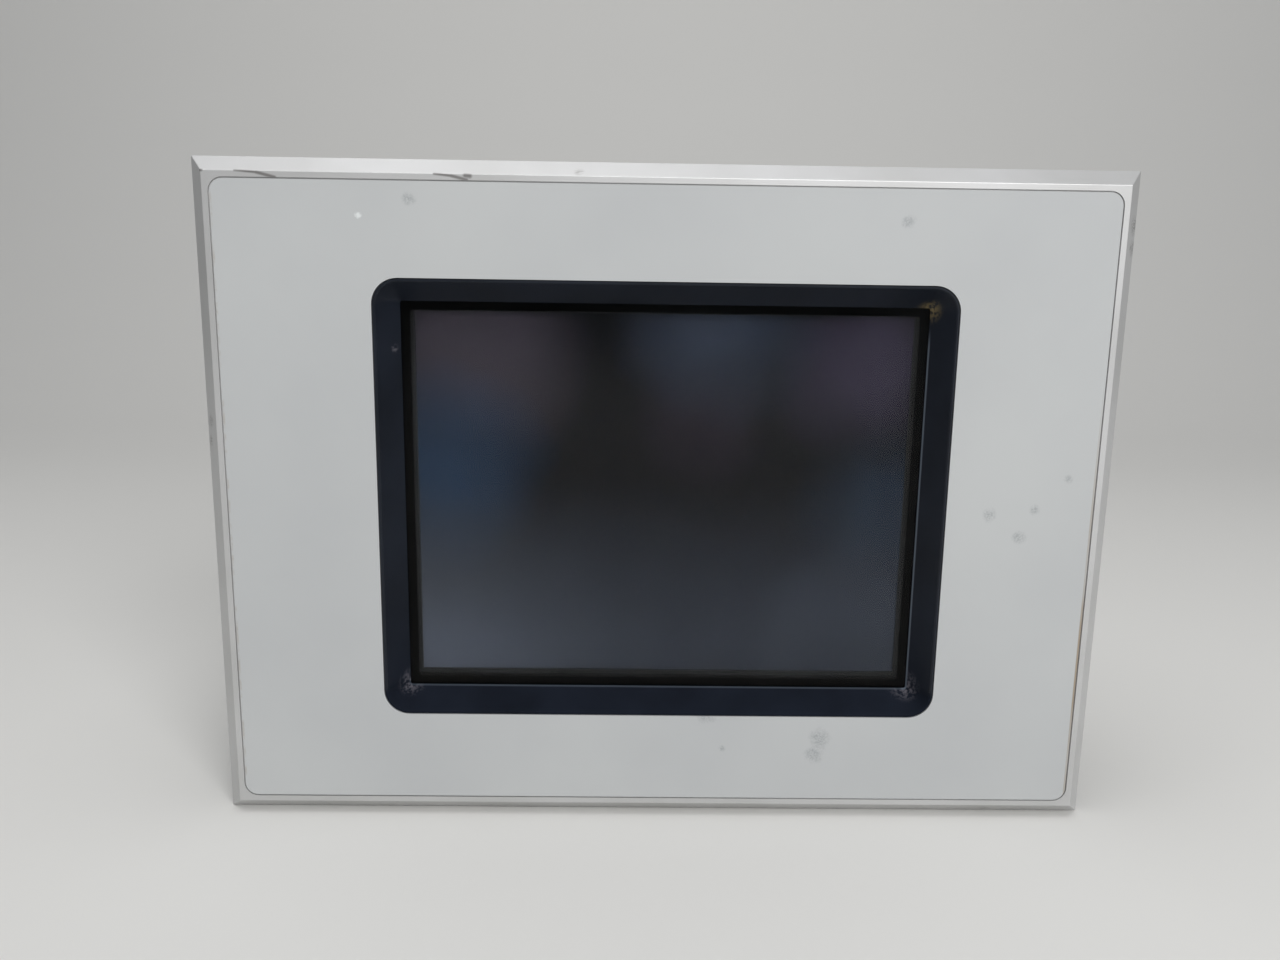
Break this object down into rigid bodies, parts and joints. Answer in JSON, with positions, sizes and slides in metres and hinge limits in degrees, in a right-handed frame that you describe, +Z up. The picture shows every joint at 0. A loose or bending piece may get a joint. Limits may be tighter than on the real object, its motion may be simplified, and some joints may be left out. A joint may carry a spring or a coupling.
{
  "type": "hmi touch panel",
  "caption": "Panel-mounted operator terminal with an aluminium front, a touch display in a black funnel bezel and a steel electronics case held by side clamps.",
  "frame": {"origin": "centre of the mounting plane, where the back of the front frame meets the panel sheet", "axes": "+X right seen from the front, +Y from the front face to the back of the case, +Z up"},
  "size_m": [0.212, 0.0616, 0.156],
  "materials": {
    "anodised_aluminium": "satin",
    "overlay_film": "matte",
    "black_plastic": "satin",
    "clear_film": "gloss",
    "touch_glass": "gloss",
    "dark_display": "gloss",
    "black_foam": "matte",
    "gasket_rubber": "matte",
    "black_steel": "satin",
    "zinc_steel": "satin",
    "screw_steel": "satin",
    "board_laminate": "satin",
    "chip_plastic": "matte",
    "heatsink_aluminium": "satin",
    "flex_film": "gloss",
    "lamp_glass": "gloss",
    "light_guide": "gloss",
    "green_plastic": "satin",
    "nickel_shell": "satin",
    "gold_contact": "polished",
    "grey_plastic": "matte",
    "cell_steel": "polished",
    "white_plastic": "satin",
    "clear_pipe": "gloss",
    "cast_zinc": "satin",
    "plate_foil": "matte"
  },
  "bodies": {
    "chassis": {"front_frame": "anodised_aluminium", "front_overlay": "overlay_film", "panel_gasket": "gasket_rubber", "display_bezel": "black_plastic", "display_seals": "black_foam", "touch_film": "clear_film", "touch_spacer": "black_foam", "touch_glass": "touch_glass", "lcd_bezel": "black_steel", "lcd_glass": "dark_display", "lcd_light_guide": "light_guide", "backlight_lamps": "lamp_glass", "lcd_tray": "zinc_steel", "flex_tails": "flex_film", "carrier_plate": "zinc_steel", "inner_screws": "screw_steel", "board_standoffs": "screw_steel", "rear_housing": "zinc_steel", "rear_cover": "zinc_steel", "cover_screws": "screw_steel", "rating_plate": "plate_foil", "main_board": "board_laminate", "board_chips": "chip_plastic", "heatsink": "heatsink_aluminium", "capacitors": "chip_plastic", "inverter_board": "board_laminate", "inverter_transformer": "chip_plastic", "power_header": "green_plastic", "ethernet_jack": "nickel_shell", "usb_sockets": "nickel_shell", "serial_shell": "nickel_shell", "serial_insert": "chip_plastic", "port_contacts": "gold_contact", "jack_screws": "screw_steel", "earth_stud": "screw_steel", "earth_nut": "screw_steel", "card_slot": "black_plastic", "battery_holder": "black_plastic", "battery": "cell_steel", "battery_hinge_pin": "screw_steel", "switch_bodies": "chip_plastic", "light_pipes": "clear_pipe", "clamp_bodies": "cast_zinc"},
    "card_ejector": {"card_ejector_plate": "zinc_steel"},
    "memory_card": {"memory_card": "grey_plastic"},
    "eject_lever": {"card_eject_lever": "zinc_steel"},
    "eject_button": {"card_eject_button": "black_plastic"},
    "battery_cover": {"battery_cover": "grey_plastic"},
    "reset_button": {"reset_button": "white_plastic"},
    "rotary_dial_left": {"rotary_dial_left": "white_plastic"},
    "rotary_dial_right": {"rotary_dial_right": "white_plastic"},
    "clamp_foot_1": {"clamp_foot_1": "black_plastic"},
    "clamp_screw_1": {"clamp_screw_1": "screw_steel"},
    "clamp_foot_2": {"clamp_foot_2": "black_plastic"},
    "clamp_screw_2": {"clamp_screw_2": "screw_steel"},
    "clamp_foot_3": {"clamp_foot_3": "black_plastic"},
    "clamp_screw_3": {"clamp_screw_3": "screw_steel"},
    "clamp_foot_4": {"clamp_foot_4": "black_plastic"},
    "clamp_screw_4": {"clamp_screw_4": "screw_steel"}
  },
  "joints": [
    {"name": "clamp_foot_1_slide", "type": "slide", "parent": "chassis", "child": "clamp_foot_1", "axis": [0, -1, 0], "range_m": [0, 0.0056]},
    {"name": "clamp_screw_1_turn", "type": "hinge", "parent": "clamp_foot_1", "child": "clamp_screw_1", "pos_m": [0.102, 0.03, 0.035], "axis": [0, -1, 0], "range_deg": [0, 2880]},
    {"name": "clamp_foot_2_slide", "type": "slide", "parent": "chassis", "child": "clamp_foot_2", "axis": [0, -1, 0], "range_m": [0, 0.0056]},
    {"name": "clamp_screw_2_turn", "type": "hinge", "parent": "clamp_foot_2", "child": "clamp_screw_2", "pos_m": [0.102, 0.03, -0.035], "axis": [0, -1, 0], "range_deg": [0, 2880]},
    {"name": "clamp_foot_3_slide", "type": "slide", "parent": "chassis", "child": "clamp_foot_3", "axis": [0, -1, 0], "range_m": [0, 0.0056]},
    {"name": "clamp_screw_3_turn", "type": "hinge", "parent": "clamp_foot_3", "child": "clamp_screw_3", "pos_m": [-0.102, 0.03, 0.035], "axis": [0, -1, 0], "range_deg": [0, 2880]},
    {"name": "clamp_foot_4_slide", "type": "slide", "parent": "chassis", "child": "clamp_foot_4", "axis": [0, -1, 0], "range_m": [0, 0.0056]},
    {"name": "clamp_screw_4_turn", "type": "hinge", "parent": "clamp_foot_4", "child": "clamp_screw_4", "pos_m": [-0.102, 0.03, -0.035], "axis": [0, -1, 0], "range_deg": [0, 2880]},
    {"name": "eject_button_press", "type": "slide", "parent": "chassis", "child": "eject_button", "axis": [0, 0, 1], "range_m": [0, 0.005]},
    {"name": "eject_lever_swing", "type": "hinge", "parent": "chassis", "child": "eject_lever", "pos_m": [0.068, 0.0295, -0.014], "axis": [0, -1, 0], "range_deg": [0, 25]},
    {"name": "card_ejector_slide", "type": "slide", "parent": "chassis", "child": "card_ejector", "axis": [0, 0, -1], "range_m": [0, 0.005]},
    {"name": "memory_card_pull", "type": "slide", "parent": "card_ejector", "child": "memory_card", "axis": [0, 0, -1], "range_m": [0, 0.036]},
    {"name": "battery_cover_hinge", "type": "hinge", "parent": "chassis", "child": "battery_cover", "pos_m": [-0.055, 0.054, 0.047], "axis": [1, 0, 0], "range_deg": [0, 115]},
    {"name": "reset_button_press", "type": "slide", "parent": "chassis", "child": "reset_button", "axis": [0, -1, 0], "range_m": [0, 0.001], "stiffness_N_per_m": 300},
    {"name": "rotary_dial_left_turn", "type": "hinge", "parent": "chassis", "child": "rotary_dial_left", "pos_m": [-0.008, 0.05, -0.036], "axis": [0, 1, 0], "continuous": true},
    {"name": "rotary_dial_right_turn", "type": "hinge", "parent": "chassis", "child": "rotary_dial_right", "pos_m": [0.008, 0.05, -0.036], "axis": [0, 1, 0], "continuous": true}
  ],
  "couplings": [
    {"joint": "clamp_screw_1_turn", "follows": "clamp_foot_1_slide", "rad_per_m": 8975.9},
    {"joint": "clamp_screw_2_turn", "follows": "clamp_foot_2_slide", "rad_per_m": 8975.9},
    {"joint": "clamp_screw_3_turn", "follows": "clamp_foot_3_slide", "rad_per_m": 8975.9},
    {"joint": "clamp_screw_4_turn", "follows": "clamp_foot_4_slide", "rad_per_m": 8975.9},
    {"joint": "card_ejector_slide", "follows": "eject_button_press", "ratio": 1},
    {"joint": "eject_lever_swing", "follows": "eject_button_press", "rad_per_m": 85.87}
  ]
}
